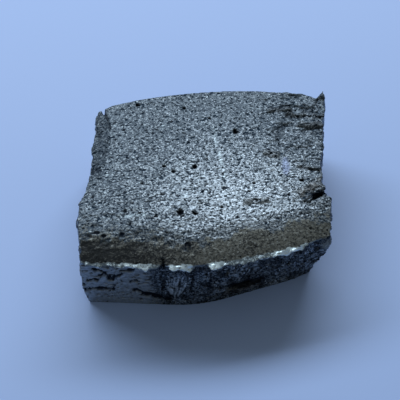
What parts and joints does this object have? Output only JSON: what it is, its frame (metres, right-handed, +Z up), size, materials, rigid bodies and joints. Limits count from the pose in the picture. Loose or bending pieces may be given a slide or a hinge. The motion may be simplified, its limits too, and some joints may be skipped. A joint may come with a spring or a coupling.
{
  "type": "dysprosium ingot piece",
  "caption": "Broken piece of a cast dysprosium ingot: pebbled cast skin on top, smooth rolled shoulder, bright rim, rough fractured sides and a flat underside to lie on.",
  "frame": {"origin": "middle of the bounding box, on the flat underside", "axes": "+Z up from the underside to the cast skin, X along the longest side, -Y towards the rolled shoulder and the broken front face"},
  "size_m": [0.0414, 0.0362, 0.0145],
  "materials": {
    "cast_metal": "satin silver-grey cast metal with a darker, oxidised fracture"
  },
  "bodies": {
    "root": {"ingot": "cast_metal"}
  },
  "joints": []
}
